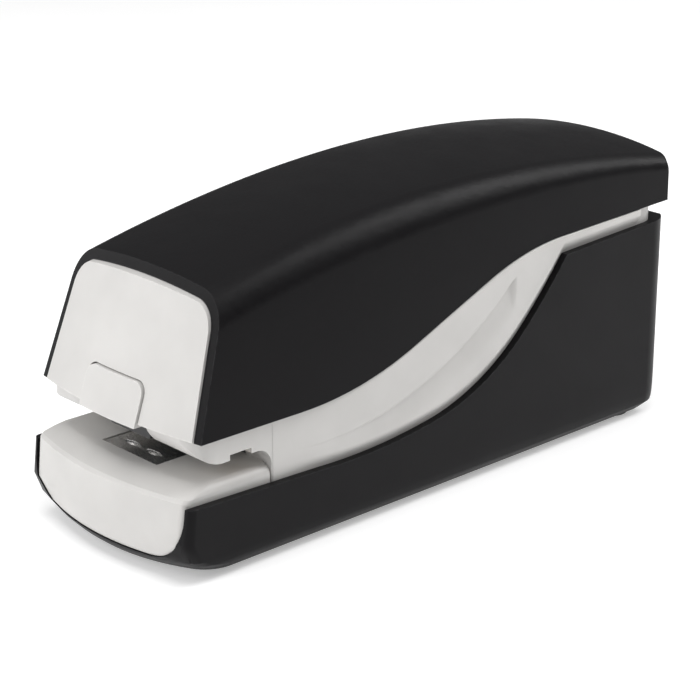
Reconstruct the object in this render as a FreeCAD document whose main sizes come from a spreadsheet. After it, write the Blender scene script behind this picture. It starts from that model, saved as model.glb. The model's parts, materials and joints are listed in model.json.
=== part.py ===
import FreeCAD
import Part
import math
import os
import Sketcher

# Electric desktop stapler.  Millimetres, +Z up, front towards -Y, origin on the table under
# the middle of the base.  The head is fixed over the base; a motor works the staple driver.

V = FreeCAD.Vector
doc = FreeCAD.newDocument("electric_stapler")
sheet = doc.addObject("Spreadsheet::Sheet", "Dims")
parts = []


# ---------------------------------------------------------------- driving dimensions

class Size:
    """A length taken from the sheet: its value now, and the same sum as a formula."""

    def __init__(self, value, formula):
        self.value = value
        self.formula = formula

    def join(self, other, sign, value):
        return Size(value, "(%s %s %s)" % (self.formula, sign, text(other)))

    def __add__(self, other):
        return self.join(other, "+", self.value + number(other))

    def __sub__(self, other):
        return self.join(other, "-", self.value - number(other))

    def __mul__(self, other):
        return self.join(other, "*", self.value * number(other))

    def __truediv__(self, other):
        return self.join(other, "/", self.value / number(other))

    def __neg__(self):
        return Size(-self.value, "(0 - %s)" % self.formula)

    def __radd__(self, other):
        return size(other) + self

    def __rsub__(self, other):
        return size(other) - self

    def __rmul__(self, other):
        return size(other) * self

    def root(self):
        return Size(math.sqrt(self.value), "sqrt(%s)" % self.formula)


def number(item):
    return item.value if isinstance(item, Size) else float(item)


def text(item):
    return item.formula if isinstance(item, Size) else "%.6g" % item


def size(item):
    return item if isinstance(item, Size) else Size(float(item), text(item))


def driving(alias, value):
    """Add one driving dimension to the sheet."""
    row = str(driving.row)
    driving.row += 1
    sheet.set("A" + row, alias)
    sheet.set("B" + row, str(value))
    sheet.setAlias("B" + row, alias)
    return Size(float(value), "Dims." + alias)


driving.row = 1

# base shell and platform
base_width = driving("base_width", 62)
shell_wall = driving("shell_wall", 2)
foot_height = driving("foot_height", 1.5)
floor_top = driving("floor_top", 3.3)
ridge_height = driving("ridge_height", 20.6)
deck_height = driving("deck_height", 23.3)
tip_front = driving("tip_front", -81.5)
nose_front = driving("nose_front", -86.5)
lip_front = driving("lip_front", -85)
seam_y = driving("seam_y", -56)
rear_face = driving("rear_face", 85.1)
shell_top = driving("shell_top", 56.3)
side_gap = driving("side_gap", 0.2)
anvil_half = driving("anvil_half", 10.5)
# head: cover, housing, face
cover_half = driving("cover_half", 30.65)
cover_wall = driving("cover_wall", 2.3)
cover_edge = driving("cover_edge", 34.9)
cover_rear = driving("cover_rear", 84.9)
arch_top = driving("arch_top", 80.3)
arch_y = driving("arch_y", 23.5)
arch_radius = driving("arch_radius", 386)
crown_radius = driving("crown_radius", 140)
lean_angle = driving("lean_angle", 18.8)
face_corner = driving("face_corner", -78.3)
skin_wall = driving("skin_wall", 2)
underside = driving("underside", 27.9)
chin_radius = driving("chin_radius", 9)
tab_half = driving("tab_half", 10.7)
tab_top = driving("tab_top", 44.2)
tab_bottom = driving("tab_bottom", 34.1)
# staples and magazine
staple_crown = driving("staple_crown", 12.7)
staple_leg = driving("staple_leg", 6)
blade_y = driving("blade_y", -71.5)
magazine_floor = driving("magazine_floor", 28.2)
magazine_rear = driving("magazine_rear", -12.5)
strip_length = driving("strip_length", 20)
# drive
plate_half = driving("plate_half", 13)
plate_thick = driving("plate_thick", 1.2)
pivot_y = driving("pivot_y", -30)
lever_height = driving("lever_height", 46.3)
rear_arm = driving("rear_arm", 32)
front_arm = driving("front_arm", 37.8)
cam_offset = driving("cam_offset", 4.36)
cam_radius = driving("cam_radius", 8)
cam_play = driving("cam_play", 0.95)
gear_module = driving("gear_module", 0.6)
wheel_teeth = driving("wheel_teeth", 48)
pinion_teeth = driving("pinion_teeth", 12)
gear_height = driving("gear_height", 55.3)
motor_radius = driving("motor_radius", 12)
motor_length = driving("motor_length", 31)
# batteries
cell_radius = driving("cell_radius", 7.25)
cell_length = driving("cell_length", 50.5)
cell_pitch = driving("cell_pitch", 14.7)
cell_front = driving("cell_front", 26.1)

doc.recompute()
half_width = base_width / 2
skin_half = half_width - shell_wall - side_gap


# ---------------------------------------------------------------- builders

def bind(item, prop, length):
    """Set a property to a length and bind it to the length's formula."""
    item.setExpression(prop, text(length))


def place(item, corner, rotation=None):
    """Put an object at a corner, each coordinate bound to its formula."""
    item.Placement = FreeCAD.Placement(V(*[number(c) for c in corner]),
                                       rotation or FreeCAD.Rotation())
    for axis, coordinate in zip("xyz", corner):
        bind(item, "Placement.Base." + axis, coordinate)
    return item


def box(low, high):
    """A block between two opposite corners."""
    item = doc.addObject("Part::Box", "Block")
    for prop, start, end in zip(("Length", "Width", "Height"), low, high):
        bind(item, prop, size(end) - start)
    return place(item, low)


TURNS = {"X": FreeCAD.Rotation(V(0, 1, 0), 90), "Y": FreeCAD.Rotation(V(1, 0, 0), -90),
         "Z": FreeCAD.Rotation()}


def rod(axis, radius, start, end, across):
    """A round bar along an axis from start to end; across holds its other two coordinates."""
    item = doc.addObject("Part::Cylinder", "Rod")
    bind(item, "Radius", radius)
    bind(item, "Height", size(end) - start)
    corner = list(across)
    corner.insert("XYZ".index(axis), start)
    return place(item, corner, TURNS[axis])


def fuse(*items):
    item = doc.addObject("Part::MultiFuse", "Fusion")
    item.Shapes = list(items)
    return item


def cut(base, *tools):
    item = doc.addObject("Part::Cut", "Cut")
    item.Base = base
    item.Tool = tools[0] if len(tools) == 1 else fuse(*tools)
    return item


def common(first, second):
    item = doc.addObject("Part::Common", "Common")
    item.Base = first
    item.Tool = second
    return item


def group(*items):
    """Identical pieces kept as separate solids of one node."""
    item = doc.addObject("Part::Compound", "Group")
    item.Links = list(items)
    return item


def keep(label, item):
    """Name a finished sub-part."""
    item.Label = label
    parts.append(item)
    return item


def body(label):
    return doc.addObject("PartDesign::Body", label)


PLANES = {"XY": "XY_Plane", "XZ": "XZ_Plane", "YZ": "YZ_Plane"}


def sketch(owner, plane, offset=0):
    """An empty sketch on one of the body's own planes, moved along its normal."""
    item = owner.newObject("Sketcher::SketchObject", "Outline")
    role = PLANES[plane]
    support = [f for f in owner.Origin.OriginFeatures if f.Role == role][0]
    item.AttachmentSupport = [(support, "")]
    item.MapMode = "FlatFace"
    bind(item, "AttachmentOffset.Base.z", offset)
    item.AttachmentOffset = FreeCAD.Placement(V(0, 0, number(offset)), FreeCAD.Rotation())
    return item


def lean_sketch(owner, y, z):
    """A sketch square to the leaning front of the head, its origin at (0, y, z)."""
    item = sketch(owner, "XY")
    item.setExpression("AttachmentOffset.Base.z", None)
    turn = FreeCAD.Rotation(V(1, 0, 0), -number(lean_angle))
    item.AttachmentOffset = FreeCAD.Placement(V(0, number(y), number(z)), turn)
    bind(item, "AttachmentOffset.Base.y", y)
    bind(item, "AttachmentOffset.Base.z", z)
    return item


def pin(item, edge, end, place_xy):
    """Hold one end of an edge at its place, measured from the sketch's origin."""
    for name, line, coordinate in zip(("DistanceX", "DistanceY"), (-2, -1), place_xy):
        if abs(number(coordinate)) < 1e-9:
            item.addConstraint(Sketcher.Constraint("PointOnObject", edge, end, line))
            continue
        rule = Sketcher.Constraint(name, -1, 1, edge, end, number(coordinate))
        where = item.addConstraint(rule)
        if isinstance(coordinate, Size):
            bind(item, "Constraints[%d]" % where, coordinate)


def arc_between(start, end, radius):
    """The short arc from start to end; a positive radius turns left, a negative one right."""
    chord = end - start
    middle = (start + end) * 0.5
    rise = math.sqrt(max(radius * radius - chord.Length ** 2 / 4, 0))
    left = V(-chord.y, chord.x, 0).normalize()
    centre = middle + left * math.copysign(rise, radius)
    first, last = (start, end) if radius > 0 else (end, start)
    angles = [math.atan2((p - centre).y, (p - centre).x) for p in (first, last)]
    return Part.ArcOfCircle(Part.Circle(centre, V(0, 0, 1), abs(radius)), *angles)


def outline(item, points):
    """Draw a closed outline.  A point is (u, v), or (u, v, radius) when an arc leads to it."""
    spots = [V(number(p[0]), number(p[1]), 0) for p in points]
    ends = []
    for i, point in enumerate(points):
        start = spots[i - 1]
        if len(point) == 2:
            edge = item.addGeometry(Part.LineSegment(start, spots[i]), False)
            ends.append((edge, 1, 2))
            continue
        radius = number(point[2])
        edge = item.addGeometry(arc_between(start, spots[i], radius), False)
        ends.append((edge, 1, 2) if radius > 0 else (edge, 2, 1))
        where = item.addConstraint(Sketcher.Constraint("Radius", edge, abs(radius)))
        if isinstance(point[2], Size):
            bind(item, "Constraints[%d]" % where, point[2] if radius > 0 else -point[2])
    for i, (edge, _, finish) in enumerate(ends):
        following, begin, _ = ends[(i + 1) % len(ends)]
        item.addConstraint(Sketcher.Constraint("Coincident", edge, finish, following, begin))
        pin(item, edge, finish, points[i][:2])
    return item


def circle(item, centre, radius):
    spot = V(number(centre[0]), number(centre[1]), 0)
    edge = item.addGeometry(Part.Circle(spot, V(0, 0, 1), number(radius)), False)
    where = item.addConstraint(Sketcher.Constraint("Radius", edge, number(radius)))
    if isinstance(radius, Size):
        bind(item, "Constraints[%d]" % where, radius)
    pin(item, edge, 3, centre)
    return item


def pad(profile, length, symmetric=False):
    owner = profile.getParentGeoFeatureGroup()
    item = owner.newObject("PartDesign::Pad", "Pad")
    item.Profile = profile
    item.SideType = "Symmetric" if symmetric else "One side"
    bind(item, "Length", length)
    return item


def pocket(profile, length=None, symmetric=False, reverse=False):
    """Cut a profile away, right through when it has no length."""
    owner = profile.getParentGeoFeatureGroup()
    item = owner.newObject("PartDesign::Pocket", "Pocket")
    item.Profile = profile
    item.SideType = "Symmetric" if symmetric else "One side"
    item.Reversed = reverse
    if length is None:
        item.Type = "ThroughAll"
    else:
        bind(item, "Length", length)
    return item


def loft(profiles, ruled=False, remove=False):
    kind = "PartDesign::SubtractiveLoft" if remove else "PartDesign::AdditiveLoft"
    item = profiles[0].getParentGeoFeatureGroup().newObject(kind, "Loft")
    item.Profile = profiles[0]
    item.Sections = profiles[1:]
    item.Ruled = ruled
    return item


def profile_plate(points, low, high):
    """A flat plate lying across X, from low to high, with a side outline (y, z)."""
    owner = body("Plate")
    pad(outline(sketch(owner, "YZ", low), points), size(high) - low)
    return owner


# ---------------------------------------------------------------- shared curves

def bowed_front(half, front, bow_radius, corner):
    """Where a bowed front meets its corner arcs: the arc's tangent points at +X."""
    centre_y = front + bow_radius
    reach = bow_radius - corner
    corner_x = half - corner
    corner_y = centre_y - (reach * reach - corner_x * corner_x).root()
    stretch = bow_radius / reach
    return corner_y, corner_x * stretch, centre_y + (corner_y - centre_y) * stretch


def plan_outline(half, front, bow_radius, corner, rear, rear_corner):
    """The base seen from above: bowed front, straight sides, rounded corners."""
    side_y, bow_x, bow_y = bowed_front(half, front, bow_radius, corner)
    return [(half, rear - rear_corner), (half - rear_corner, rear, rear_corner),
            (rear_corner - half, rear), (-half, rear - rear_corner, rear_corner),
            (-half, side_y), (-bow_x, bow_y, corner), (bow_x, bow_y, bow_radius),
            (half, side_y, corner)]


def shell_edge():
    """The sweeping top edge of the base shell, from the front tip to the rear, as (y, z)."""
    return [(tip_front, 19.8), (-42, 18.6), (-6, 20.4, 170), (27.7, 36.5, 62),
            (43.6, 54, 150), (rear_face + 5, shell_top)]


def cover_lower_edge(lift):
    """The lower edge of the cover from the front corner to the rear, as (y, z)."""
    edge = cover_edge + lift
    return [(-48, edge - 0.1), (-10, edge + 7.3, 101), (17, edge + 18.2), (42, edge + 23.9, -80),
            (90, edge + 25.7)]


# ---------------------------------------------------------------- base

RIDGE_BOW = 98.6
LIP_BOW = 51.3
SOLE_INSET = 2.2
LIP_HEIGHT = 1.7      # the shell's rim that shows under the skirt
MOUTH_CORNER = 12
SKIRT_CORNER = MOUTH_CORNER - 0.2
FRONT_DEPTH = 60
BESIDE = 40           # clear of the base to either side
# height, side inset, front, bow radius and corner radius of each plan of the base
ROLL = [(floor_top, 0.6, lip_front, 54, 9), (floor_top + 1.1, 0.3, lip_front - 0.9, 70, 6),
        (floor_top + 2.9, 0.1, nose_front, 90, 3.8), (floor_top + 7.6, 0, nose_front - 0.5, 118, 2.5),
        (ridge_height, 0, nose_front, RIDGE_BOW, 2)]
# how far the deck has risen and drawn in at the side and at the front
DECK_ROLL = [(0.3, 0.1, 0.8), (0.6, 0.5, 3.5), (0.85, 1.2, 5.5), (1, 2.4, 7.3)]
JACK_X = -16
JACK_Z = 45
DOOR_FRONT = 24.6
DOOR_REAR = 77
DOOR_HALF = 23.2
FOOT_SPOTS = [(-20, -62), (20, -62), (-22, 74), (22, 74)]
SCREW_SPOTS = [(-18, -42), (18, -42), (-18, 10), (18, 10)]
SCREW_SHANK = 1.55
SCREW_HEAD = 2.8
DOOR_AXIS = (25.4, 2.4)
HINGE_RADIUS = 0.6
ABOVE_ALL = 90
BEYOND_FRONT = -110
ANVIL_FRONT = -75.8
ANVIL_REAR = -63
ANVIL_THICK = 1.2
POCKET_BOW = 7
POCKET_DEPTH = 0.6
seat_height = deck_height - 1.4
well_half = half_width - shell_wall


def base_levels(owner, half, setback, rear, rear_corner):
    """Plans of the base from the lip up to the ridge: the sides roll in towards the bottom."""
    plans = []
    for height, inset, front, bow, corner in ROLL:
        plan = plan_outline(half - inset, front + setback, bow - setback, corner, rear, rear_corner)
        plans.append(outline(sketch(owner, "XY", height), plan))
    return plans


def base_shell():
    """Outer shell of the base: floor, side wings, grip-shaped back."""
    owner = body("base_shell")
    sole = outline(sketch(owner, "XY", foot_height), plan_outline(
        half_width - SOLE_INSET, lip_front + SOLE_INSET, LIP_BOW, 9, rear_face - 2, 7))
    levels = base_levels(owner, half_width, 0, rear_face + 1.5, 8)
    loft([sole] + levels, ruled=True)
    pad(levels[-1], shell_top + 3 - ridge_height)
    top = outline(sketch(owner, "YZ"), [(BEYOND_FRONT, 19.8)] + shell_edge() + [
        (rear_face + 5, ABOVE_ALL), (BEYOND_FRONT, ABOVE_ALL)])
    pocket(top, symmetric=True)
    back = outline(sketch(owner, "YZ"), [
        (rear_face - 5.6, foot_height), (rear_face - 2.3, 6.5, 4), (rear_face + 1.2, 24.5, 42),
        (rear_face - 0.3, 38, 70), (rear_face, 60), (rear_face + 8, 60),
        (rear_face + 8, foot_height - 1), (rear_face - 5.6, foot_height - 1)])
    pocket(back, symmetric=True)
    well = outline(sketch(owner, "XY", floor_top), plan_outline(
        well_half, lip_front + shell_wall, LIP_BOW - shell_wall, 8, 79, 6.5))
    pocket(well, ABOVE_ALL, reverse=True)
    sill = floor_top + LIP_HEIGHT
    opening = outline(sketch(owner, "XZ", -BEYOND_FRONT), [
        (well_half, ABOVE_ALL), (-well_half, ABOVE_ALL), (-well_half, sill + MOUTH_CORNER),
        (MOUTH_CORNER - well_half, sill, MOUTH_CORNER),
        (well_half - MOUTH_CORNER, sill),
        (well_half, sill + MOUTH_CORNER, MOUTH_CORNER)])
    pocket(opening, FRONT_DEPTH)
    upper_well = outline(sketch(owner, "XY", 10), [
        (well_half, 76), (well_half - 6, rear_face - 2.5, 6.3), (6 - well_half, rear_face - 2.5),
        (-well_half, 76, 6.3), (-well_half, 60), (well_half, 60)])
    pocket(upper_well, ABOVE_ALL, reverse=True)
    doorway = outline(sketch(owner, "XY", 0), [
        (DOOR_HALF + 0.2, DOOR_FRONT - 0.6), (DOOR_HALF + 0.2, DOOR_REAR + 0.2),
        (-DOOR_HALF - 0.2, DOOR_REAR + 0.2), (-DOOR_HALF - 0.2, DOOR_FRONT - 0.6)])
    pocket(doorway, 6, reverse=True)
    screws = sketch(owner, "XY", 0)
    for spot in SCREW_SPOTS:
        circle(screws, spot, SCREW_SHANK + 0.05)
    pocket(screws, 6, reverse=True)
    hinge = circle(sketch(owner, "YZ"), DOOR_AXIS, HINGE_RADIUS + 0.05)
    pocket(hinge, (DOOR_HALF + 1.6) * 2, symmetric=True)
    jack = circle(sketch(owner, "XZ", -70), (JACK_X, JACK_Z), 4.2)
    pocket(jack, 30)
    return owner


def base_platform():
    """Front deck and skirt that carry the anvil."""
    owner = body("base_platform")
    levels = base_levels(owner, skin_half, 0.4, seam_y, 1)
    for share, inset, back in DECK_ROLL:
        height = ridge_height + (deck_height - ridge_height) * share
        plan = plan_outline(skin_half - inset, nose_front + 0.4 + back, RIDGE_BOW, 2 + inset,
                            seam_y, 1)
        levels.append(outline(sketch(owner, "XY", height), plan))
    loft(levels, ruled=True)
    inner = skin_half - 2.6
    hollow = outline(sketch(owner, "XY", 0), [
        (inner, -72, 12), (inner, seam_y + 1), (-inner, seam_y + 1), (-inner, -72),
        (-15, -80, 12), (15, -80)])
    pocket(hollow, 20, reverse=True)
    below = outline(sketch(owner, "XY", 0), [
        (BESIDE, BEYOND_FRONT), (BESIDE, 0), (-BESIDE, 0), (-BESIDE, BEYOND_FRONT)])
    sill = floor_top + LIP_HEIGHT
    pocket(below, sill + side_gap, reverse=True)
    for side in (-1, 1):
        edge_x, corner_x = side * skin_half, side * (well_half - MOUTH_CORNER)
        corner = outline(sketch(owner, "XZ", -BEYOND_FRONT), [
            (side * BESIDE, 0), (side * BESIDE, sill + MOUTH_CORNER), (edge_x, sill + MOUTH_CORNER),
            (corner_x, sill + side_gap, -side * SKIRT_CORNER), (corner_x, 0)])
        pocket(corner, FRONT_DEPTH)
    seat_half = anvil_half + 0.15
    seat = outline(sketch(owner, "XY", seat_height), [
        (seat_half, ANVIL_FRONT - 0.1), (seat_half, ANVIL_REAR + 0.1),
        (-seat_half, ANVIL_REAR + 0.1), (-seat_half, ANVIL_FRONT - 0.1)])
    pocket(seat, 10, reverse=True)
    return owner


def anvil_plate():
    """Steel plate with the two dished pockets that bend the staple legs in."""
    owner = body("anvil_plate")
    plate = outline(sketch(owner, "XY", seat_height), [
        (anvil_half, ANVIL_FRONT), (anvil_half, ANVIL_REAR),
        (-anvil_half, ANVIL_REAR), (-anvil_half, ANVIL_FRONT)])
    pad(plate, ANVIL_THICK)
    for side in (-1, 1):
        near, far = side * 0.7, side * (staple_crown / 2 + 1.2)
        turn = side * POCKET_BOW
        dish = outline(sketch(owner, "XY", seat_height + ANVIL_THICK), [
            (far, blade_y, turn), (near, blade_y, turn)])
        pocket(dish, POCKET_DEPTH)
    return owner


keep("base_shell", base_shell())
keep("base_platform", base_platform())
keep("anvil_plate", anvil_plate())
keep("rubber_feet", group(*[rod("Z", 5, 0, foot_height, spot) for spot in FOOT_SPOTS]))
keep("base_screws", group(*[
    fuse(rod("Z", SCREW_SHANK, floor_top - 1.2, 9, spot),
         rod("Z", SCREW_HEAD, floor_top + 1.3, 6.6, spot))
    for spot in SCREW_SPOTS]))


# ---------------------------------------------------------------- head housing and cover

TRIGGER_X = 18
TRIGGER_PIVOT = (-59.6, 38)
CHIN_FRONT = -79.2
CHIN_CORNER = 7
REAR_CORNER = 6
housing_rear = rear_face - 2.7


def round_off(owner, side, edge_y, ahead, radius):
    """Round one upright corner of the housing; ahead is -1 at the front and 1 at the rear."""
    edge_x, turn = side * skin_half, side * radius
    start_y = edge_y - ahead * radius
    corner = outline(sketch(owner, "XY", 10), [
        (edge_x, start_y), (edge_x - turn, edge_y, side * ahead * radius),
        (edge_x - turn, edge_y + ahead * 2), (edge_x + turn, edge_y + ahead * 2),
        (edge_x + turn, start_y)])
    pocket(corner, 60, reverse=True)


def housing_form():
    """The pale housing between base and cover, before it is split down the middle."""
    owner = body("Housing")
    side = [(seam_y, 14), (seam_y, deck_height + 0.3), (seam_y - 4, underside, 4.5),
            (-70.5, underside), (CHIN_FRONT, cover_edge - 0.2, -chin_radius)]
    side += cover_lower_edge(-0.2)[:-1]
    side += [(housing_rear, cover_edge + 25.4), (housing_rear, 51), (40, 46), (10, 15),
             (-20, 12)]
    pad(outline(sketch(owner, "YZ"), side), skin_half * 2, symmetric=True)
    for side in (-1, 1):
        round_off(owner, side, CHIN_FRONT, -1, CHIN_CORNER)
        round_off(owner, side, housing_rear, 1, REAR_CORNER)
    roof = underside + skin_wall
    behind_seam = seam_y + skin_wall
    void_rear = housing_rear - skin_wall
    void = outline(sketch(owner, "YZ"), [
        (-76.3, ABOVE_ALL), (-76.3, 36), (-70.5, roof), (behind_seam, roof),
        (behind_seam, 0), (void_rear, 0), (void_rear, ABOVE_ALL)])
    pocket(void, (skin_half - skin_wall) * 2, symmetric=True)
    gate_half = tab_half + 0.3
    gate = outline(sketch(owner, "XY", 0), [
        (gate_half, -90), (gate_half, magazine_rear + 2), (-gate_half, magazine_rear + 2),
        (-gate_half, -90)])
    pocket(gate, 36, reverse=True)
    slot = outline(sketch(owner, "XY", 0), [
        (TRIGGER_X + 1.4, -62), (TRIGGER_X + 1.4, -53.5), (TRIGGER_X - 1.4, -53.5),
        (TRIGGER_X - 1.4, -62)])
    pocket(slot, 31, reverse=True)
    notch = outline(sketch(owner, "XY", 0), [(30, -68.5), (30, -62), (24.5, -62), (24.5, -68.5)])
    pocket(notch, 29.3, reverse=True)
    crease = [(24.8, 51.2, 96), (-52, 25.2, -92)]
    for side in (-1, 1):
        groove = outline(sketch(owner, "YZ", side * skin_half), crease)
        pocket(groove, 0.35, reverse=side < 0)
    return owner


def tongue(side):
    """Rib that locates the cover on one side of the housing."""
    upper = [(-72, cover_edge + 3.8)] + cover_lower_edge(3.8)[:-1] + [(78, cover_edge + 29.3)]
    lower = [(78, cover_edge + 22)] + [(42, cover_edge + 20.5), (17, cover_edge + 14.5),
                                       (-10, cover_edge + 3.5), (-48, cover_edge - 3),
                                       (-72, cover_edge - 3)]
    inner, outer = skin_half - 2.9, skin_half - 1.95
    return profile_plate(upper + lower, *sorted((side * inner, side * outer), key=number))


housing = housing_form()
for name, side in (("left_housing", -1), ("right_housing", 1)):
    ends = sorted((0, 40 * side))
    half = common(housing, box((ends[0], -100, 0), (ends[1], 100, 100)))
    keep(name, fuse(half, tongue(side)))


def arch_height(y):
    """Height of the cover's ridge line at y."""
    return arch_top - arch_radius + (arch_radius * arch_radius
                                     - (y - arch_y) * (y - arch_y)).root()


def cover_section(owner, y, slope, shoulder, inset):
    """One cross-section of the head: sloping sides, rounded shoulders, slightly domed top."""
    top = arch_height(y) - inset
    radius = shoulder - inset
    half = cover_half - inset
    stretch = math.sqrt(1 + slope * slope)
    reach = half + cover_edge * slope - radius * stretch
    base = top - crown_radius
    span = crown_radius - radius
    mixed = reach * slope + base
    inside = mixed * mixed - stretch ** 2 * (reach * reach + base * base - span * span)
    centre_z = (mixed + inside.root()) / stretch ** 2
    centre_x = reach - centre_z * slope
    side = (centre_x + radius / stretch, centre_z + radius * slope / stretch)
    crown = (centre_x * crown_radius / span, base + (centre_z - base) * crown_radius / span)
    foot_z = 28
    foot_x = half + (cover_edge - foot_z) * slope
    return outline(sketch(owner, "XZ", -y), [
        (foot_x, foot_z), side, crown + (radius,), (-crown[0], crown[1], crown_radius),
        (-side[0], side[1], radius), (-foot_x, foot_z)])


STATIONS = [(-88, 0.11, 9.5), (-44, 0.1, 9.5), (0, 0.07, 9), (44, 0.045, 7), (88, 0.025, 5)]


def head_block(owner, inset, remove=False, end=None):
    """The whole head as a lofted block, or its hollow."""
    sections = []
    for y, slope, shoulder in STATIONS:
        y = end if end is not None and y == STATIONS[-1][0] else y
        sections.append(cover_section(owner, y, slope, shoulder, inset))
    return loft(sections, remove=remove)


def front_line(owner, setback, bow, beyond=-60, half=40):
    """All that lies ahead of the head's bowed, leaning front (or behind it, up to beyond)."""
    bow_radius = cover_half * cover_half / (2 * bow) + bow / 2
    centre = setback - bow + bow_radius
    edge_y = centre - (bow_radius * bow_radius - half * half).root()
    return outline(lean_sketch(owner, face_corner, cover_edge), [
        (half, edge_y, bow_radius), (half, beyond), (-half, beyond), (-half, edge_y)])


COVER_BOW = 2
FACE_BOW = 2.9


def top_cover():
    owner = body("top_cover")
    head_block(owner, 0)
    head_block(owner, cover_wall, remove=True, end=cover_rear.value - cover_wall.value)
    lower = outline(sketch(owner, "YZ"), [(BEYOND_FRONT, cover_edge)] + cover_lower_edge(0) + [
        (95, cover_edge + 26), (95, 0), (BEYOND_FRONT, 0)])
    pocket(lower, symmetric=True)
    front = front_line(owner, 0, COVER_BOW)
    pocket(front, symmetric=True)
    rear = outline(sketch(owner, "YZ"), [
        (cover_rear, 50), (cover_rear + 0.4, 71), (cover_rear - 4.6, 82, 8), (100, 90), (100, 50)])
    pocket(rear, symmetric=True)
    return owner


keep("top_cover", top_cover())

BEHIND = 240
FACE_PROUD = 0.3
FACE_THICK = 2.2
TAB_PROUD = 0.9
TAB_CORNER = 3


def tab_outline(owner, gap, low):
    """Front view of the release tab, or with a gap the notch it sits in."""
    half, top, corner = tab_half + gap, tab_top + gap, TAB_CORNER
    return outline(sketch(owner, "XZ", 0), [
        (half, low), (half, top - corner), (half - corner, top, corner), (corner - half, top),
        (-half, top - corner, corner), (-half, low)])


def lean_slab(owner, proud, thick):
    """Keep only a layer along the leaning front of the head."""
    pocket(front_line(owner, -proud, FACE_BOW), symmetric=True)
    pocket(front_line(owner, thick - proud, FACE_BOW, BEHIND), symmetric=True)


def face_panel():
    owner = body("face_panel")
    head_block(owner, cover_wall + 0.15)
    lean_slab(owner, FACE_PROUD, FACE_THICK)
    below = outline(sketch(owner, "YZ"), [
        (-110, cover_edge + 0.1), (110, cover_edge + 0.1), (110, 0), (-110, 0)])
    pocket(below, symmetric=True)
    pocket(tab_outline(owner, 0.3, 20), symmetric=True)
    return owner


PIN_SPOTS = (-6.5, 6.5)
PIN_Z = 40


def release_tab():
    """Tab that is pressed to free the staple drawer, with its two guide pins."""
    owner = body("Tab")
    pad(tab_outline(owner, 0, tab_bottom), 200, symmetric=True)
    lean_slab(owner, TAB_PROUD, FACE_THICK + 0.2)
    pins = [rod("Y", 1, -77.8, -74.2, (x, PIN_Z)) for x in PIN_SPOTS]
    return fuse(owner, *pins)


keep("face_panel", face_panel())
keep("release_tab", release_tab())


# ---------------------------------------------------------------- staple drawer

CHANNEL_HALF = 7.6
CHANNEL_TOP = 35.2
SHEET_STEEL = 0.8
ROD_Z = 31.1
RAIL_HALF = 5.6
GUIDE_TOP = 35.9
PUSHER_FRONT = -50.7
leg_top = magazine_floor + 0.7 + staple_leg


def drawer_front():
    """Block behind the release tab that carries the drawer."""
    owner = body("Carrier")
    face = outline(sketch(owner, "XZ", 73.6), [
        (9.8, 34.6), (9.8, 43.2), (-9.8, 43.2), (-9.8, 34.6)])
    pad(face, 12)
    pocket(front_line(owner, FACE_THICK + 1.1, FACE_BOW), symmetric=True)
    bores = sketch(owner, "XZ", 73)
    for x in PIN_SPOTS:
        circle(bores, (x, PIN_Z), 1.06)
    pocket(bores, 20, reverse=True)
    foot = box((-CHANNEL_HALF, -75.2, 28.6), (CHANNEL_HALF, -73.6, 34.6))
    return fuse(owner, foot)


def staple_shape(label, half, inner, top, thick, start, end):
    """A staple-shaped channel section between two places along Y."""
    owner = body(label)
    section = outline(sketch(owner, "XZ", -end), [
        (half, magazine_floor + 0.7), (half, top), (-half, top), (-half, magazine_floor + 0.7),
        (-inner, magazine_floor + 0.7), (-inner, top - thick), (inner, top - thick),
        (inner, magazine_floor + 0.7)])
    pad(section, size(end) - start)
    return owner


def coil(radius, wire, pitch, start, length, centre):
    """A round-wire spring along Y."""
    helix = doc.addObject("Part::Helix", "Helix")
    helix.Pitch = pitch
    helix.Height = length
    helix.Radius = radius
    ring = doc.addObject("Part::Circle", "Ring")
    ring.Radius = wire
    ring.Placement = FreeCAD.Placement(V(radius, 0, 0), FreeCAD.Rotation(V(1, 0, 0), 90))
    sweep = doc.addObject("Part::Sweep", "Coil")
    sweep.Sections = [ring]
    doc.recompute()
    sweep.Spine = (helix, ["Edge1"])
    sweep.Solid = True
    sweep.Frenet = True
    return place(sweep, (centre[0], start, centre[1]), TURNS["Y"])


wall = SHEET_STEEL
keep("drawer_front", drawer_front())
keep("magazine_channel", fuse(
    box((-CHANNEL_HALF, -73.5, magazine_floor), (CHANNEL_HALF, -72.3, CHANNEL_TOP)),
    box((-CHANNEL_HALF, -72.4, magazine_floor), (wall - CHANNEL_HALF, magazine_rear, CHANNEL_TOP)),
    box((CHANNEL_HALF - wall, -72.4, magazine_floor), (CHANNEL_HALF, magazine_rear, CHANNEL_TOP)),
    box((-CHANNEL_HALF, -69, magazine_floor), (CHANNEL_HALF, magazine_rear, magazine_floor + 0.6))))
rail_low = magazine_floor + 0.6
rail_top = leg_top - 0.8
keep("staple_rail", cut(
    box((-RAIL_HALF, -70.9, rail_low), (RAIL_HALF, magazine_rear, rail_top)),
    box((1 - RAIL_HALF, -80, rail_low - 1), (RAIL_HALF - 1, magazine_rear - 1, rail_top - wall)),
    box((-1, -62, rail_low), (1, -16, rail_top + 1))))
half_crown = staple_crown / 2
keep("staple_strip", staple_shape("Strip", half_crown, half_crown - 0.5, leg_top, 0.5,
                                  blade_y + 0.6, blade_y + 0.6 + strip_length))
pusher = staple_shape("Pusher", half_crown, half_crown - 0.6, leg_top, 0.6, PUSHER_FRONT,
                      PUSHER_FRONT + 7)
keep("staple_pusher", cut(
    fuse(pusher, box((-0.8, -48, 32), (0.8, -46, leg_top - 0.3)),
         box((-3.8, -47.5, 29), (3.8, -46.5, 33.25))),
    rod("Y", 1.85, -60, -40, (0, ROD_Z))))
keep("pusher_rod", rod("Y", 0.8, -70.5, magazine_rear - 1, (0, ROD_Z)))
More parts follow.
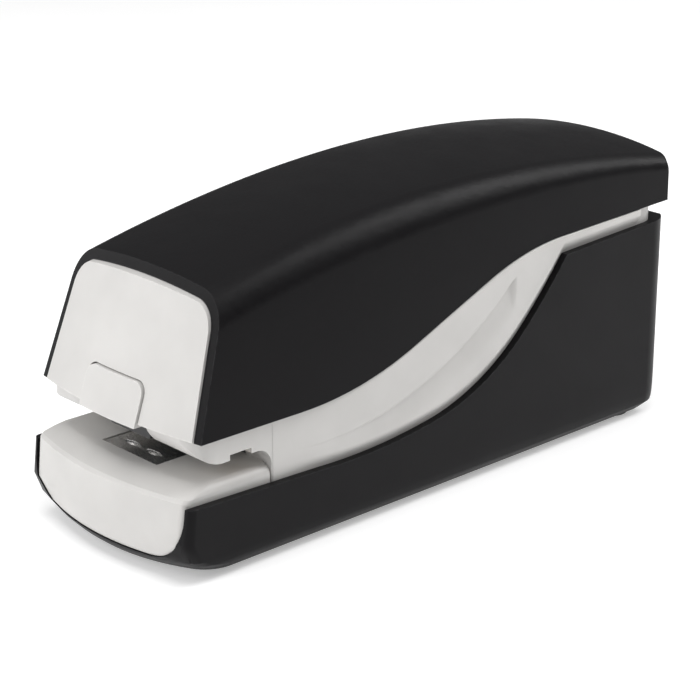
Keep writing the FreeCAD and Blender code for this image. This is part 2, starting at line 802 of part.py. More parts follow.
keep("pusher_spring", coil(1.45, 0.22, 1.6, -46.2, 31.5, (0, ROD_Z)))
for name, side in (("left_drawer_guide", -1), ("right_drawer_guide", 1)):
    ends = [sorted((side * CHANNEL_HALF + side * 0.2, side * 9)),
            sorted((side * CHANNEL_HALF + side * 0.2, side * plate_half.value))]
    keep(name, fuse(box((ends[0][0], -70, 28.6), (ends[0][1], -14, GUIDE_TOP)),
                    box((ends[1][0], -70, GUIDE_TOP - 0.8), (ends[1][1], -14, GUIDE_TOP))))


# ---------------------------------------------------------------- frame and drive

CAM_Y = pivot_y + rear_arm
SECOND_GEAR = (17.6, 55.3)
FIRST_GEAR = (35.6, 55.3)
MOTOR_AT = (53.6, 55.3)
SHAFT_RADIUS = 1.5
CAM_SHAFT_RADIUS = 2
RUN_FIT = 0.05
drive_pin_y = pivot_y - front_arm
lever_angle = math.degrees(math.asin(cam_offset.value / rear_arm.value))
drive_pin_z = lever_height + front_arm * math.tan(math.radians(lever_angle))
plate_out = plate_half + plate_thick


def side_plate(side, bores):
    """One steel side plate of the mechanism, with its foot flange on the base floor."""
    rear = [(28, 68), (28, 37)] if side < 0 else [(66, 68), (66, 42), (28, 42), (28, 37)]
    points = [(-71, 36.4), (-54, 36.4), (-50, 31), (-50, floor_top), (20, floor_top), (20, 36)]
    points += rear[::-1] + [(-40, 67), (-62, 66), (-71, 50)]
    low, high = sorted((side * plate_half, side * plate_out), key=number)
    plate = profile_plate(points, low, high)
    holes = [rod("X", radius, -40, 40, spot) for spot, radius in bores]
    reach = sorted((side * plate_out, side * 22), key=number)
    flange = box((reach[0], -50, floor_top), (reach[1], 20, floor_top + 1.2))
    screws = [rod("Z", 1.6, 0, 8, spot) for spot in SCREW_SPOTS]
    return cut(fuse(plate, flange), *holes, *screws)


shared_bores = [((pivot_y, lever_height), CAM_SHAFT_RADIUS),
                ((CAM_Y, lever_height), CAM_SHAFT_RADIUS + RUN_FIT)]
gear_bores = [(SECOND_GEAR, SHAFT_RADIUS), (FIRST_GEAR, SHAFT_RADIUS)]
keep("left_frame_plate", side_plate(-1, shared_bores))
keep("right_frame_plate", side_plate(1, shared_bores + gear_bores + [
    (MOTOR_AT, 3.05), (TRIGGER_PIVOT, 1)]))
keep("frame_spacers", group(*[rod("X", 2, -plate_half, plate_half, spot)
                              for spot in [(-45, 62.5), (24, 64), (10, 12), (-45, 12)]]))
keep("lever_pin", rod("X", CAM_SHAFT_RADIUS, -plate_out - 0.8, plate_out + 0.6,
                      (pivot_y, lever_height)))


def drive_lever():
    """Rocking lever: fork round the cam at the back, fork on the driver pin at the front."""
    owner = body("drive_lever")
    grip = cam_radius + cam_play
    shape = outline(sketch(owner, "YZ", -2.8), [
        (-front_arm - 1.8, -4.35), (rear_arm - 12, -4.35), (rear_arm - 12, -grip - 2.8),
        (rear_arm + 9, -grip - 2.8), (rear_arm + 9, -grip), (rear_arm - 9.4, -grip),
        (rear_arm - 9.4, grip), (rear_arm + 9, grip), (rear_arm + 9, grip + 2.8),
        (rear_arm - 12, grip + 2.8), (rear_arm - 12, 4.35), (-front_arm - 1.8, 4.35),
        (-front_arm - 1.8, 1.85), (-front_arm + 3.3, 1.85), (-front_arm + 3.3, -1.85, -1.9),
        (-front_arm - 1.8, -1.85)])
    pad(shape, 5.6)
    bore = circle(sketch(owner, "YZ", -2.8), (0, 0), CAM_SHAFT_RADIUS + RUN_FIT)
    pocket(bore, 10, reverse=True)
    return place(owner, (0, pivot_y, lever_height), FreeCAD.Rotation(V(1, 0, 0), -lever_angle))


keep("drive_lever", drive_lever())


def gear_face(teeth, at_angle, x, thick, tip_share):
    """A spur gear across X: involute flanks, one tooth pointing at an angle from +Y."""
    module = gear_module.value
    pitch = module * teeth / 2
    pressure = math.radians(20)
    base = pitch * math.cos(pressure)
    root = pitch - 1.25 * module
    tip = pitch + tip_share * module
    start = max(root, base)
    at_pitch = math.pi / (2 * teeth) - TOOTH_PLAY / (2 * pitch)

    def half_angle(radius):
        lean = math.acos(min(base / radius, 1))
        return at_pitch + math.tan(pressure) - pressure - math.tan(lean) + lean

    flank = [(root, half_angle(start))] if root < base else []
    flank += [(r, half_angle(r)) for r in (start, (start + tip) / 2, tip)]
    corners = []
    for tooth in range(teeth):
        middle = math.radians(at_angle) + 2 * math.pi * tooth / teeth
        for radius, turn in [(r, -a) for r, a in flank] + [(r, a) for r, a in flank[::-1]]:
            corners.append(V(x, radius * math.cos(middle + turn), radius * math.sin(middle + turn)))
    ring = Part.makePolygon(corners + corners[:1])
    return Part.Face(ring).extrude(V(thick, 0, 0))


def disc(radius, x, thick, centre=(0, 0)):
    return Part.makeCylinder(radius, thick, V(x, centre[0], centre[1]), V(1, 0, 0))


def gear(label, shape, bore, centre):
    item = doc.addObject("Part::Feature", label)
    item.Shape = shape.cut(disc(bore, -40, 80)).removeSplitter()
    item.Placement = FreeCAD.Placement(V(0, number(centre[0]), number(centre[1])),
                                       FreeCAD.Rotation())
    return keep(label, item)


TOOTH_PLAY = 0.1
WHEEL_TIP = 0.72
PINION_TIP = 0.95
LAYERS = [(14.8, 17.6), (18.2, 20.8), (21.4, 23.8)]
wheel = int(wheel_teeth.value)
pinion = int(pinion_teeth.value)
pinion_gap = 180 / pinion
climb = math.degrees(math.atan2(SECOND_GEAR[1] - lever_height.value, SECOND_GEAR[0] - CAM_Y.value))


def wheel_in(layer, angle):
    low, high = LAYERS[layer]
    return gear_face(wheel, angle, low, high - low, WHEEL_TIP)


def pinion_in(layer, angle, reach):
    low = LAYERS[layer][0]
    return gear_face(pinion, angle + pinion_gap, low, reach - low, PINION_TIP)


gear("cam_gear", wheel_in(0, climb), CAM_SHAFT_RADIUS, (CAM_Y, lever_height))
gear("second_gear", pinion_in(0, climb + 180, LAYERS[1][0]).fuse(wheel_in(1, 0)),
     SHAFT_RADIUS + RUN_FIT, SECOND_GEAR)
gear("first_gear", pinion_in(1, 180, LAYERS[2][0]).fuse(wheel_in(2, 0)),
     SHAFT_RADIUS + RUN_FIT, FIRST_GEAR)
gear("motor_pinion", pinion_in(2, 180, LAYERS[2][1]), 1, MOTOR_AT)
keep("cam_shaft", rod("X", CAM_SHAFT_RADIUS, -plate_out - 0.8, LAYERS[0][1] + 0.3,
                      (CAM_Y, lever_height)))
keep("cam_disc", cut(rod("X", cam_radius, -2.8, 2.8, (CAM_Y, lever_height - cam_offset)),
                     rod("X", CAM_SHAFT_RADIUS, -9, 9, (CAM_Y, lever_height))))
keep("second_gear_shaft", rod("X", SHAFT_RADIUS, plate_half, 25.6, SECOND_GEAR))
keep("first_gear_shaft", rod("X", SHAFT_RADIUS, plate_half, 25.6, FIRST_GEAR))
motor_end = plate_half - motor_length
can = common(rod("X", motor_radius, motor_end, plate_half, MOTOR_AT),
             box((-40, 30, gear_height - 10.2), (40, 80, gear_height + 10.2)))
keep("drive_motor", cut(fuse(can, rod("X", 4, motor_end - 2, motor_end, MOTOR_AT),
                             rod("X", 3, plate_half, plate_out + 0.4, MOTOR_AT)),
                        rod("X", 1 + RUN_FIT, 8, 20, MOTOR_AT)))
keep("motor_shaft", rod("X", 1, 9, 24.2, MOTOR_AT))
plate_posts = [(-1, 64.5), (58.5, 62.5), (58.5, 47.5)]
keep("gear_plate", cut(
    profile_plate([(-5, 61), (12, 47), (62, 45), (62, 66), (-5, 67)], 24.6, 25.6),
    rod("X", SHAFT_RADIUS, 20, 30, SECOND_GEAR), rod("X", SHAFT_RADIUS, 20, 30, FIRST_GEAR)))
keep("gear_plate_posts", group(*[rod("X", 2, plate_out, 24.6, spot) for spot in plate_posts]))

# the driver: a flat blade on a slide block, pushed by the lever through a cross pin
HOLDER_LOW = 46.8
HOLDER_TOP = 55.5
keep("driver_block", cut(
    box((-9, blade_y + 0.3, HOLDER_LOW), (9, drive_pin_y + 3.3, HOLDER_TOP)),
    box((-3.2, blade_y + 1.3, HOLDER_LOW - 1), (3.2, -60, HOLDER_TOP + 1)),
    rod("X", 1.5, -10, 10, (drive_pin_y, drive_pin_z))))
keep("driver_pin", rod("X", 1.5, -8.8, 8.8, (drive_pin_y, drive_pin_z)))
keep("driver_blade", box((-6.2, blade_y - 0.3, leg_top + 0.7), (6.2, blade_y + 0.3, 54)))
for name, side in (("left_driver_guide", -1), ("right_driver_guide", 1)):
    low, high = sorted((side * 9.2, side * plate_half.value))
    keep(name, box((low, -71, GUIDE_TOP + 0.2), (high, drive_pin_y + 3.3, HOLDER_TOP)))


# ---------------------------------------------------------------- electrics

BOARD_X = -24.2
keep("control_board", box((BOARD_X, -22, 40), (BOARD_X + 1.6, 26, 61)))
board_face = BOARD_X + 1.6
keep("board_parts", group(
    box((board_face, -14, 44), (-15.4, 0, 57)), box((board_face, 4, 42), (-17, 13, 47)),
    box((board_face, 4, 51), (-20.8, 12, 58)), rod("X", 3.2, board_face, -15.6, (18, 52))))
keep("board_posts", group(*[rod("X", 1.5, board_face, -plate_out, spot)
                            for spot in [(-19, 43), (23, 43), (-19, 58), (23, 58)]]))
keep("paper_switch", box((15, -56.6, 31), (21, -50, 37)))
keep("paper_trigger", cut(
    fuse(box((TRIGGER_X - 0.8, -60.3, 24.6), (TRIGGER_X + 0.8, -58.9, 38)),
         rod("X", 2, TRIGGER_X - 1.6, TRIGGER_X + 1.6, TRIGGER_PIVOT)),
    rod("X", 1 + RUN_FIT, 0, 30, TRIGGER_PIVOT)))
keep("trigger_pin", rod("X", 1, plate_half, 22, TRIGGER_PIVOT))
keep("sensor_plate", box((25.2, -67.8, 28.8), (27.9, -62.6, 29.3)))

LEAF_HALF = 4
LEAF_BOW = 5.4
LEAF_TIP = 25.8
CONTACT_FACE = 23.1


def contact_leaf(x, z):
    """A bowed spring-steel leaf on the front contact plate, pressing on one cell."""
    spot = (LEAF_TIP - LEAF_BOW, z)
    ring = cut(rod("X", LEAF_BOW, x - LEAF_HALF, x + LEAF_HALF, spot),
               rod("X", LEAF_BOW - 0.4, x - LEAF_HALF - 1, x + LEAF_HALF + 1, spot))
    return common(ring, box((x - LEAF_HALF, CONTACT_FACE, z - LEAF_BOW),
                            (x + LEAF_HALF, LEAF_TIP + 1, z + LEAF_BOW)))


CASE_HALF = 23.6
keep("battery_case", cut(box((-CASE_HALF, 21.5, 4), (CASE_HALF, 78.6, 36)),
                         box((1.4 - CASE_HALF, 22.7, 3), (CASE_HALF - 1.4, 77.4, 34.8))))
cell_rows = (11.6, 26.6)
number_of_cell = 0
for z in cell_rows:
    for column in (-1, 0, 1):
        number_of_cell += 1
        spot = (column * cell_pitch, z)
        can = rod("Y", cell_radius, cell_front, cell_front + cell_length - 1.3, spot)
        nub = rod("Y", 2.7, cell_front + cell_length - 1.3, cell_front + cell_length, spot)
        keep("aa_cell_%d" % number_of_cell, fuse(can, nub))
keep("front_contact_plate", box((-21.5, 22.7, 6), (21.5, CONTACT_FACE, 33)))
keep("rear_contact_plate", box((-21.5, cell_front + cell_length, 6), (21.5, 77.4, 33)))
keep("contact_springs", group(*[contact_leaf(column * cell_pitch, z)
                                for z in cell_rows for column in (-1, 0, 1)]))
keep("battery_door", fuse(
    box((-DOOR_HALF, DOOR_FRONT, foot_height), (DOOR_HALF, DOOR_REAR, floor_top)),
    rod("X", HINGE_RADIUS, -DOOR_HALF - 1.3, DOOR_HALF + 1.3, DOOR_AXIS)))
jack_end = rear_face - 0.6
keep("dc_jack", fuse(cut(
    fuse(box((JACK_X - 5, 68.5, JACK_Z - 5.2), (JACK_X + 5, 80, JACK_Z + 5.2)),
         rod("Y", 4, 80, jack_end, (JACK_X, JACK_Z))),
    rod("Y", 2.8, 75, 90, (JACK_X, JACK_Z))), rod("Y", 1, 74, 83.5, (JACK_X, JACK_Z))))


# ---------------------------------------------------------------- checks and files

doc.recompute()
for item in doc.Objects:
    if "Invalid" in item.State or "Error" in item.State:
        raise RuntimeError("%s failed: %s" % (item.Label, item.State))
for item in parts:
    if item.Shape.isNull() or not item.Shape.isValid():
        raise RuntimeError("%s has no valid shape" % item.Label)
os.makedirs("parts", exist_ok=True)
for item in parts:
    item.Shape.exportStep("parts/%s.step" % item.Label)
print(len(parts), "sub-parts written")
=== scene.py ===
import bpy
import bmesh
import json
import math
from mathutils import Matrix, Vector


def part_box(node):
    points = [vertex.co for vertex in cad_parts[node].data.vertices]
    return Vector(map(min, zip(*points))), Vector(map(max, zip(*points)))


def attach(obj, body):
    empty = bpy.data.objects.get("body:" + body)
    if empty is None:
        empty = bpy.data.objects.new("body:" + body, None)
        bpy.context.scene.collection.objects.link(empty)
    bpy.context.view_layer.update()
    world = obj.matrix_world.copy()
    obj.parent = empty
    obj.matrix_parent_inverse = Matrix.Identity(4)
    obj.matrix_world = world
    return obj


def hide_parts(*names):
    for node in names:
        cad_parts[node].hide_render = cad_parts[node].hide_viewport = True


# Looks of the electric desktop stapler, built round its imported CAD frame.
# Metres, +Z up, front towards -Y, origin on the table under the middle of the base.

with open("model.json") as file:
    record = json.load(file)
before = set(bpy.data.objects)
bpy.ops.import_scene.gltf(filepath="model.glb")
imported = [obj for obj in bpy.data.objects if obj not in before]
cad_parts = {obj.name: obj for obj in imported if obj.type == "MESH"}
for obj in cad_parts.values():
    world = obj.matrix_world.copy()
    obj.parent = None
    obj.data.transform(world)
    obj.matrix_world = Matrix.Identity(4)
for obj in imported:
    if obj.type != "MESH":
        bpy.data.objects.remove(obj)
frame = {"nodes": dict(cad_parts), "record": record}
bpy.context.view_layer.update()
nodes = frame["nodes"]
MM = 0.001


# ---------------------------------------------------------------- material building

# sockets of a colour Mix node, whose names repeat for each kind of data
MIX_SHARE, MIX_FIRST, MIX_SECOND, MIX_RESULT = 0, 6, 7, 2
WORN_PLASTIC = 0.5 * MM    # width of the rubbed band along an edge
WORN_METAL = 0.25 * MM
METAL_GRAIN = 900          # features per metre
METAL_DEPTH = 0.004 * MM
CELL_TOP_BAND = (14.2 * MM, 14 * MM)      # from the positive end: the copper band begins
CELL_BARE_END = (1.8 * MM, 1.7 * MM)      # and the bare steel end begins


class Paint:
    """One procedural material: its node tree, and short ways to add to it."""

    def __init__(self, name, colour, roughness, metallic=0.0, specular=0.5):
        self.material = bpy.data.materials.new(name)
        self.material.use_nodes = True
        self.tree = self.material.node_tree
        self.shader = self.tree.nodes["Principled BSDF"]
        self.shader.inputs["Metallic"].default_value = metallic
        self.shader.inputs["Specular IOR Level"].default_value = specular
        self.material.diffuse_color = (*colour, 1)
        self.place = self.add("ShaderNodeTexCoord").outputs["Object"]
        self.colour = colour
        self.roughness = roughness

    def add(self, kind, settings=None, **inputs):
        node = self.tree.nodes.new(kind)
        for key, value in (settings or {}).items():
            setattr(node, key, value)
        for key, value in inputs.items():
            by_number = key[0] == "i" and key[1:].isdigit()
            slot = node.inputs[int(key[1:]) if by_number else key]
            if isinstance(value, bpy.types.NodeSocket):
                self.tree.links.new(value, slot)
            else:
                slot.default_value = value
        return node

    def feed(self, value, slot):
        """Link a socket to a slot, or set the slot to a constant number or colour."""
        if isinstance(value, bpy.types.NodeSocket):
            self.tree.links.new(value, slot)
        else:
            slot.default_value = (*value, 1) if isinstance(value, (tuple, list)) else value

    def noise(self, scale, detail=3, stretch=(1, 1, 1)):
        """Noise from 0 to 1; scale is in features per metre."""
        spot = self.add("ShaderNodeMapping", i0=self.place, i3=stretch)
        made = self.add("ShaderNodeTexNoise", Vector=spot.outputs[0], Scale=scale, Detail=detail)
        return made.outputs["Fac"]

    def span(self, value, low, high, start=0.0, end=1.0):
        """The value mapped from low..high to start..end, clamped."""
        made = self.add("ShaderNodeMapRange", i0=value, i1=low, i2=high, i3=start, i4=end)
        return made.outputs[0]

    def math(self, operation, first, second):
        return self.add("ShaderNodeMath", {"operation": operation}, i0=first, i1=second).outputs[0]

    def tint(self, colour, share):
        """Mix the colour so far with another by a share from 0 to 1."""
        mix = self.add("ShaderNodeMix", {"data_type": "RGBA"})
        self.feed(share, mix.inputs[MIX_SHARE])
        self.feed(self.colour, mix.inputs[MIX_FIRST])
        self.feed(colour, mix.inputs[MIX_SECOND])
        self.colour = mix.outputs[MIX_RESULT]

    def vary_roughness(self, scale, amount, stretch=(1, 1, 1)):
        change = self.span(self.noise(scale, 4, stretch), 0.3, 0.7, -amount, amount)
        self.roughness = self.math("ADD", change, self.roughness)

    def edges(self, width):
        """1 along the edges of the piece, 0 on its faces, broken up by noise."""
        rounded = self.add("ShaderNodeBevel", {"samples": 4}, Radius=width)
        flat = self.add("ShaderNodeNewGeometry")
        turn = self.add("ShaderNodeVectorMath", {"operation": "DOT_PRODUCT"},
                        i0=rounded.outputs[0], i1=flat.outputs["Normal"])
        mask = self.span(turn.outputs["Value"], 0.97, 0.8)
        return self.math("MULTIPLY", mask, self.span(self.noise(700), 0.35, 0.6))

    def bump(self, height, depth):
        made = self.add("ShaderNodeBump", Height=height, Distance=depth, Strength=1.0)
        self.feed(made.outputs[0], self.shader.inputs["Normal"])

    def done(self):
        self.feed(self.colour, self.shader.inputs["Base Color"])
        self.feed(self.roughness, self.shader.inputs["Roughness"])
        return self.material


def moulded(name, colour, roughness, grain=2600, depth=0.02, worn=None, specular=0.5):
    """Moulded plastic: fine spark-eroded grain, faint flow marks, edges rubbed smooth."""
    paint = Paint(name, colour, roughness, specular=specular)
    darker = [c * 0.86 for c in colour]
    paint.tint(darker, paint.span(paint.noise(60, 5), 0.35, 0.75, 0, 0.6))
    if worn:
        paint.tint(worn, paint.edges(WORN_PLASTIC))
    paint.vary_roughness(90, 0.035)
    paint.vary_roughness(grain / 3, 0.02)
    paint.bump(paint.noise(grain, 2), depth * MM)
    return paint.done()


def metal(name, colour, roughness, brush=(1, 1, 1)):
    """Bare or plated metal: brushed or rolled grain, stains, bright rubbed edges."""
    paint = Paint(name, colour, roughness, metallic=1.0)
    paint.tint([c * 0.7 for c in colour], paint.span(paint.noise(140, 5), 0.45, 0.75, 0, 0.7))
    paint.tint([min(c * 1.25, 0.95) for c in colour], paint.edges(WORN_METAL))
    paint.vary_roughness(METAL_GRAIN, 0.08, brush)
    paint.bump(paint.noise(METAL_GRAIN * 2, 3, brush), METAL_DEPTH)
    return paint.done()


def rubber(name, colour):
    paint = Paint(name, colour, 0.82, specular=0.3)
    paint.tint([c * 1.8 for c in colour], paint.edges(WORN_PLASTIC))
    paint.tint([c * 1.5 for c in colour], paint.span(paint.noise(300, 5), 0.5, 0.8, 0, 0.5))
    paint.bump(paint.noise(1800, 3), 0.03 * MM)
    return paint.done()


def circuit(name, colour):
    """Solder mask over copper tracks."""
    paint = Paint(name, colour, 0.35)
    tracks = paint.add("ShaderNodeTexBrick", {"offset": 0.5}, Vector=paint.place, Scale=260.0)
    tracks.inputs["Mortar Size"].default_value = 0.03
    lines = paint.span(tracks.outputs["Fac"], 0.2, 0.8)
    paint.tint([c * 2.2 for c in colour], lines)
    paint.vary_roughness(400, 0.05)
    paint.bump(lines, 0.03 * MM)
    return paint.done()


def cell_sleeve(name, colour):
    """Sleeve of a battery cell: dark, then a copper band and a bare end at the positive pole."""
    paint = Paint(name, colour, 0.28)
    along = paint.add("ShaderNodeSeparateXYZ", i0=paint.place).outputs[1]
    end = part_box("aa_cell_1")[1].y
    for tone, band in (((0.62, 0.36, 0.16), CELL_TOP_BAND), ((0.6, 0.6, 0.62), CELL_BARE_END)):
        paint.tint(tone, paint.span(along, end - band[0], end - band[1]))
    paint.tint([c * 0.5 for c in colour], paint.span(paint.noise(500, 4), 0.5, 0.8, 0, 0.4))
    paint.vary_roughness(500, 0.06)
    paint.bump(paint.noise(900, 2), 0.005 * MM)
    return paint.done()


LOOKS = {
    "black_shell": moulded("satin_black", (0.0055, 0.005, 0.0058), 0.4,
                           worn=(0.03, 0.03, 0.032), specular=0.12),
    "pale_shell": moulded("pale_grey", (0.62, 0.607, 0.59), 0.38, depth=0.012,
                          worn=(0.76, 0.75, 0.73)),
    "polished_steel": metal("polished_steel", (0.62, 0.61, 0.6), 0.26, (1, 12, 1)),
    "zinc_steel": metal("zinc_steel", (0.58, 0.6, 0.62), 0.36),
    "grey_rubber": rubber("foot_rubber", (0.045, 0.045, 0.047)),
    "brass": metal("turned_brass", (0.75, 0.5, 0.2), 0.26, (6, 1, 1)),
    "gear_plastic": moulded("natural_acetal", (0.76, 0.73, 0.64), 0.42, grain=1500),
    "inner_plastic": moulded("inner_black", (0.03, 0.03, 0.032), 0.5, worn=(0.07, 0.07, 0.07)),
    "motor_can": metal("plated_can", (0.5, 0.51, 0.53), 0.3, (1, 5, 5)),
    "board_green": circuit("solder_mask", (0.02, 0.13, 0.05)),
    "board_black": moulded("component_black", (0.02, 0.02, 0.022), 0.55, grain=1200),
    "cell_wrap": cell_sleeve("cell_sleeve", (0.05, 0.055, 0.07)),
}


# ---------------------------------------------------------------- mesh helpers

WELD_REACH = 0.002 * MM
SHARP_ANGLE = math.radians(28)    # edges that turn less than this are left as they are


def weld_and_round(obj, width):
    """Close the seams of a mesh, then round its edges by a width in millimetres."""
    weld = obj.modifiers.new("weld", "WELD")
    weld.merge_threshold = WELD_REACH
    bevel = obj.modifiers.new("rounded", "BEVEL")
    bevel.width = width * MM
    bevel.segments = 2
    bevel.limit_method = "ANGLE"
    bevel.angle_limit = SHARP_ANGLE
    bevel.harden_normals = False
    bevel.use_clamp_overlap = True
    even = obj.modifiers.new("even", "WEIGHTED_NORMAL")
    even.keep_sharp = False
    even.weight = 80


def new_piece(name, points, faces, body, slot):
    """A smooth mesh piece that rides on a body and takes its finish from a slot."""
    mesh = bpy.data.meshes.new(name)
    mesh.from_pydata(points, [], faces)
    mesh.polygons.foreach_set("use_smooth", [True] * len(mesh.polygons))
    mesh.materials.append(LOOKS[slot])
    piece = bpy.data.objects.new(name, mesh)
    bpy.context.scene.collection.objects.link(piece)
    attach(piece, body)
    return piece


def closed_sheet(outer, inner):
    """Points and faces of a closed plate between two equal grids of points."""
    rows, columns = len(outer), len(outer[0])
    points = [p for row in outer for p in row] + [p for row in inner for p in row]
    half = rows * columns
    faces = []
    for i in range(rows - 1):
        for j in range(columns - 1):
            a, b = i * columns + j, (i + 1) * columns + j
            faces.append((a, a + 1, b + 1, b))
            faces.append((half + a, half + b, half + b + 1, half + a + 1))
    rim = list(range(columns))
    rim += [i * columns + columns - 1 for i in range(1, rows)]
    rim += [(rows - 1) * columns + j for j in range(columns - 2, -1, -1)]
    rim += [i * columns for i in range(rows - 2, 0, -1)]
    for k, a in enumerate(rim):
        b = rim[(k + 1) % len(rim)]
        faces.append((b, a, half + a, half + b))
    return points, faces


def smooth(low, high, value):
    """0 below low, 1 above high, an even S between."""
    share = min(max((value - low) / (high - low), 0.0), 1.0)
    return share * share * (3 - 2 * share)


def edge_height(chain, y):
    """Height at y of a chain of lines and arcs; a point is (y, z) or (y, z, radius of its arc)."""
    for (y0, z0, *_), (y1, z1, *arc) in zip(chain, chain[1:]):
        if y > y1 and (y1, z1) != tuple(chain[-1][:2]):
            continue
        if not arc:
            return z0 + (z1 - z0) * (y - y0) / (y1 - y0)
        radius = arc[0]
        chord = math.hypot(y1 - y0, z1 - z0)
        rise = math.copysign(math.sqrt(radius * radius - chord * chord / 4), radius) / chord
        centre_y = (y0 + y1) / 2 - (z1 - z0) * rise
        centre_z = (z0 + z1) / 2 + (y1 - y0) * rise
        return centre_z - math.copysign(math.sqrt(radius * radius - (y - centre_y) ** 2), radius)
    return chain[-1][1]


# ---------------------------------------------------------------- sculpted side of the housing

# Side curves of the head and base in millimetres, as (y, z) or (y, z, arc radius).
COVER_EDGE = [(-80, 34.9), (-48, 34.8), (-10, 42.2, 101), (17, 53.1), (42, 58.8, -80), (90, 60.6)]
SHELL_EDGE = [(-81.5, 19.8), (-42, 18.6), (-6, 20.4, 170), (27.7, 36.5, 62), (43.6, 54, 150),
              (90, 56.3)]
CREASE = [(-56, 24.4), (-52, 25.2), (24.8, 51.2, 96), (26.5, 53)]
SKIN_FRONT = -55.8
SKIN_REAR = 74
SKIN_SEAT = 28.6      # where the skin sits in the housing wall
SKIN_FLUSH = 28.84    # just clear of the housing's flat side
SKIN_PROUD = 30       # where the rolled band stands
SKIN_COLUMNS, SKIN_ROWS = 261, 81
SWELL_LENGTH = 26     # over this length behind the front the side swells to its full thickness
STEP = 1.1            # how far the side steps in below the crease at its upper end
STEP_GROWS = (SKIN_FRONT + 4, 5)      # y over which the step deepens
STEP_ENDS = (24.2, 25.6)              # y over which it runs out at the tip
CREASE_HALF = (0.25, -0.2)            # the step's flank, above and below the crease
HOLLOW_REACH = 7      # the hollow below the crease fades out over this
ROLL_HEIGHT = 3.2     # the band rolls in over this height above the shell's edge
LIP_HEIGHT, LIP_IN = 0.5, 0.1         # the top edge turns in under the cover
EDGE_OVERLAP = 0.8    # how far the skin reaches down behind the shell's edge
COVER_GAP = 0.22
SLOPE_STEP = 0.5      # y step for the crease's slope


def skin_out(y, z, low, high):
    """How far out the side stands: proud above the crease, stepping in below it and fading."""
    above, below = CREASE_HALF
    out = smooth(SKIN_FRONT, SKIN_FRONT + SWELL_LENGTH, y) * (SKIN_PROUD - SKIN_FLUSH)
    ahead = edge_height(CREASE, y + SLOPE_STEP) - edge_height(CREASE, y)
    away = (z - edge_height(CREASE, y)) / math.hypot(1, ahead / SLOPE_STEP)
    if away < above:
        step = STEP * smooth(*STEP_GROWS, y) * (1 - smooth(*STEP_ENDS, y))
        flank = smooth(above, below, away)
        hollow = flank if away > below else 1 - smooth(-below, HOLLOW_REACH, -away)
        out -= min(step, out) * hollow
    roll = 1 - smooth(0.0, ROLL_HEIGHT, z - low)
    lip = 1 - smooth(0.0, LIP_HEIGHT, high - z)
    return SKIN_FLUSH + out * (1 - roll) - LIP_IN * lip


def housing_skin(side, name):
    """Sculpted skin over one side of the housing; side is 1 at +X and -1 at -X."""
    outer, inner = [], []
    for i in range(SKIN_COLUMNS):
        y = SKIN_FRONT + (SKIN_REAR - SKIN_FRONT) * i / (SKIN_COLUMNS - 1)
        low = edge_height(SHELL_EDGE, y)
        high = edge_height(COVER_EDGE, y) - COVER_GAP
        start = low - EDGE_OVERLAP
        strip, back = [], []
        for j in range(SKIN_ROWS):
            z = start + (high - start) * j / (SKIN_ROWS - 1)
            strip.append((side * skin_out(y, z, low, high) * MM, y * MM, z * MM))
            back.append((side * SKIN_SEAT * MM, y * MM, z * MM))
        outer.append(strip)
        inner.append(back)
    points, faces = closed_sheet(outer, inner)
    if side < 0:
        faces = [face[::-1] for face in faces]
    new_piece(name, points, faces, "base", "pale_shell")


housing_skin(1, "right_housing_side")
housing_skin(-1, "left_housing_side")


# ---------------------------------------------------------------- staples

STAPLE_WIRE = 0.5 * MM
STAPLE_GAP = 0.02 * MM    # half the groove between two wires
# corners of a staple's ring that close its ends: the two legs, the corners and the crown
STAPLE_CAPS = ((0, 1, 8, 9), (1, 2, 3, 8), (3, 4, 7, 8), (4, 5, 6, 7))


def staple_wires():
    """The strip as its separate wire staples, glued side by side."""
    low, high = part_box("staple_strip")
    wire = STAPLE_WIRE
    count = round((high.y - low.y) / wire)
    points, faces = [], []
    for k in range(count):
        y0 = low.y + k * wire + STAPLE_GAP
        y1 = y0 + wire - 2 * STAPLE_GAP
        ring = [(high.x, low.z), (high.x, high.z - wire / 3), (high.x - wire / 3, high.z),
                (low.x + wire / 3, high.z), (low.x, high.z - wire / 3), (low.x, low.z),
                (low.x + wire, low.z), (low.x + wire, high.z - wire),
                (high.x - wire, high.z - wire), (high.x - wire, low.z)]
        start = len(points)
        points += [(x, y0, z) for x, z in ring] + [(x, y1, z) for x, z in ring]
        size = len(ring)
        for n in range(size):
            m = (n + 1) % size
            faces.append((start + n, start + m, start + size + m, start + size + n))
        for cap in STAPLE_CAPS:
            faces.append(tuple(start + c for c in reversed(cap)))
            faces.append(tuple(start + size + c for c in cap))
    strip = new_piece("staples", points, faces, "drawer", "polished_steel")
    strip.data.polygons.foreach_set("use_smooth", [False] * len(strip.data.polygons))
    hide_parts("staple_strip")


staple_wires()


# ---------------------------------------------------------------- CAD nodes

# width of the rounded edges in millimetres, by material slot
ROUNDING = {"black_shell": 0.35, "pale_shell": 0.3, "inner_plastic": 0.2, "grey_rubber": 0.4,
            "polished_steel": 0.08, "zinc_steel": 0.08, "brass": 0.05, "gear_plastic": 0.06,
            "motor_can": 0.3, "board_green": 0.1, "board_black": 0.25, "cell_wrap": 0.5}

TAB_ROUNDING = 0.5
LEFT_UNROUNDED = ("pusher_spring", "staple_strip")

slot_of = {row["node"]: row["material_slot"] for row in frame["record"]["subparts"]}
for name, obj in nodes.items():
    obj.data.materials.clear()
    obj.data.materials.append(LOOKS[slot_of[name]])
    if name not in LEFT_UNROUNDED:
        weld_and_round(obj, TAB_ROUNDING if name == "release_tab" else ROUNDING[slot_of[name]])


# ---------------------------------------------------------------- studio

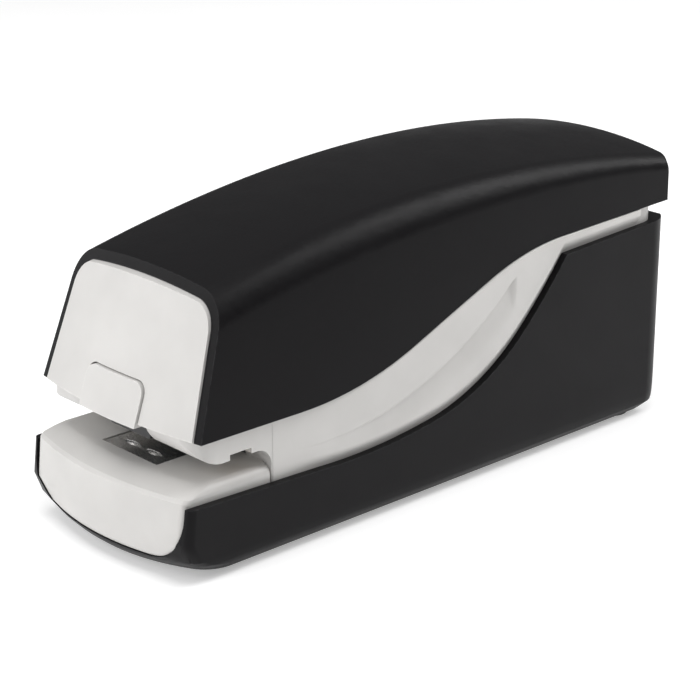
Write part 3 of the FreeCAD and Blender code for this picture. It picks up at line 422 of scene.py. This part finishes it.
CAMERA_AT = (0.3733, -0.3501, 0.2174)
CAMERA_AZIMUTH, CAMERA_ELEVATION = 47.19, 20.09
CAMERA_LENS, CAMERA_SENSOR = 108, 36
LIT_POINT = (0, 0, 0.03)
FLOOR_HALF = 6
FLOOR_GLOW = 0.35
# height of the sky from and to, and its strength there
SKY = (0.1, 0.9, 0.12, 0.45)
# name, place, width, height and power of each lamp; all point at the same spot
LAMPS = [("key", (-0.4, -1.0, 0.6), 0.8, 0.8, 6.2),
         ("shoulder", (0.41, 0.8, 0.83), 0.5, 0.9, 8),
         ("low_fill", (-0.9, -0.75, 0.22), 0.6, 0.3, 1.3),
         ("overhead", (0.0, -0.2, 1.2), 1.2, 0.7, 7)]


def look_along(azimuth, elevation):
    """Rotation of a camera that looks along an azimuth (0 is +Y) and down by an elevation."""
    a, e = math.radians(azimuth), math.radians(elevation)
    ahead = Vector((-math.sin(a) * math.cos(e), math.cos(a) * math.cos(e), -math.sin(e)))
    return ahead.to_track_quat("-Z", "Y")


def make_camera():
    data = bpy.data.cameras.new("camera")
    data.lens = CAMERA_LENS
    data.sensor_width = CAMERA_SENSOR
    data.clip_start = 0.01
    camera = bpy.data.objects.new("camera", data)
    bpy.context.scene.collection.objects.link(camera)
    camera.rotation_mode = "QUATERNION"
    camera.location = CAMERA_AT
    camera.rotation_quaternion = look_along(CAMERA_AZIMUTH, CAMERA_ELEVATION)
    bpy.context.scene.camera = camera


def soft_light(name, at, width, height, power):
    data = bpy.data.lights.new(name, "AREA")
    data.shape = "RECTANGLE"
    data.size = width
    data.size_y = height
    data.energy = power
    lamp = bpy.data.objects.new(name, data)
    bpy.context.scene.collection.objects.link(lamp)
    lamp.location = at
    direction = Vector(LIT_POINT) - Vector(at)
    lamp.rotation_mode = "QUATERNION"
    lamp.rotation_quaternion = direction.to_track_quat("-Z", "Y")


def make_floor():
    mesh = bpy.data.meshes.new("floor")
    grid = bmesh.new()
    bmesh.ops.create_grid(grid, x_segments=2, y_segments=2, size=FLOOR_HALF)
    grid.to_mesh(mesh)
    grid.free()
    floor = bpy.data.objects.new("floor", mesh)
    bpy.context.scene.collection.objects.link(floor)
    paint = Paint("white_floor", (0.93, 0.93, 0.93), 0.16, specular=0.4)
    paint.vary_roughness(20, 0.02)
    paint.shader.inputs["Emission Color"].default_value = (1, 1, 1, 1)
    paint.shader.inputs["Emission Strength"].default_value = FLOOR_GLOW
    mesh.materials.append(paint.done())


def make_world():
    """Dim all round and brighter overhead, as in a studio with a soft ceiling."""
    world = bpy.data.worlds.new("studio")
    bpy.context.scene.world = world
    world.use_nodes = True
    tree = world.node_tree
    place = tree.nodes.new("ShaderNodeTexCoord")
    split = tree.nodes.new("ShaderNodeSeparateXYZ")
    ramp = tree.nodes.new("ShaderNodeMapRange")
    tree.links.new(place.outputs["Generated"], split.inputs[0])
    tree.links.new(split.outputs[2], ramp.inputs[0])
    for index, value in enumerate(SKY, start=1):
        ramp.inputs[index].default_value = value
    tree.links.new(ramp.outputs[0], tree.nodes["Background"].inputs["Strength"])
    tree.nodes["Background"].inputs["Color"].default_value = (1, 1, 1, 1)


make_camera()
make_floor()
make_world()
for lamp in LAMPS:
    soft_light(*lamp)
bpy.context.scene.view_settings.view_transform = "Standard"
